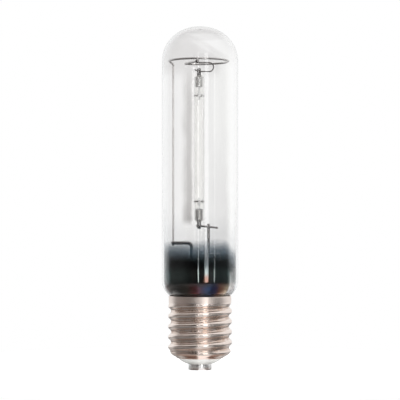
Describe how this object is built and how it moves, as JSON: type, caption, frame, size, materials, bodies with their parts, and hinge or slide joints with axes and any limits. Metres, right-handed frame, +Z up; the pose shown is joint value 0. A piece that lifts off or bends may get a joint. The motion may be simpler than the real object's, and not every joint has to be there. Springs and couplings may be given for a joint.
{
  "type": "sodium vapour bulb",
  "caption": "Clear tubular sodium vapour bulb with a ceramic arc tube on a wire frame, a dark getter band and a screw cap, for a high-pressure lamp fitting.",
  "frame": {"origin": "middle of the flat outer face of the centre contact, on the lamp's axis", "axes": "+Z up the axis from the screw cap to the dome, X in the plane of the wire frame with the frame rod on -X, -Y towards the viewer of the picture"},
  "size_m": [0.047, 0.047, 0.211],
  "materials": {
    "nickel_plate": "bright nickel plate on rolled brass sheet",
    "contact_metal": "nickel-plated brass",
    "solder": "tin solder",
    "insulator_glass": "opaque pressed glass, pale grey-green",
    "cement": "dry basing cement",
    "clear_glass": "clear hard glass",
    "stem_glass": "clear stem glass",
    "frame_metal": "drawn nickel-plated wire",
    "lead_metal": "drawn lead wire",
    "expansion_metal": "fine spring wire",
    "arc_ceramic": "translucent polycrystalline alumina",
    "plug_ceramic": "dense alumina",
    "frit": "sealing glass",
    "niobium": "drawn niobium",
    "tungsten": "sintered tungsten",
    "amalgam": "frozen sodium amalgam",
    "starting_metal": "fine molybdenum wire and strip",
    "getter_metal": "pressed nickel-plated strip"
  },
  "bodies": {
    "root": {"threaded_sleeve": "nickel_plate", "centre_contact": "contact_metal", "contact_solder": "solder", "cap_insulator": "insulator_glass", "basing_cement": "cement", "outer_bulb": "clear_glass", "glass_stem": "stem_glass", "frame_wire": "frame_metal", "frame_lead": "lead_metal", "lead_post": "lead_metal", "contact_lead": "lead_metal", "sleeve_lead": "lead_metal", "expansion_lead": "expansion_metal", "cross_wire": "frame_metal", "arc_tube": "arc_ceramic", "upper_plug": "plug_ceramic", "lower_plug": "plug_ceramic", "upper_frit": "frit", "lower_frit": "frit", "upper_niobium_tube": "niobium", "lower_niobium_tube": "niobium", "upper_electrode": "tungsten", "lower_electrode": "tungsten", "sodium_amalgam": "amalgam", "starting_wire": "starting_metal", "getter_ring": "getter_metal", "getter_wire": "frame_metal"}
  },
  "joints": []
}
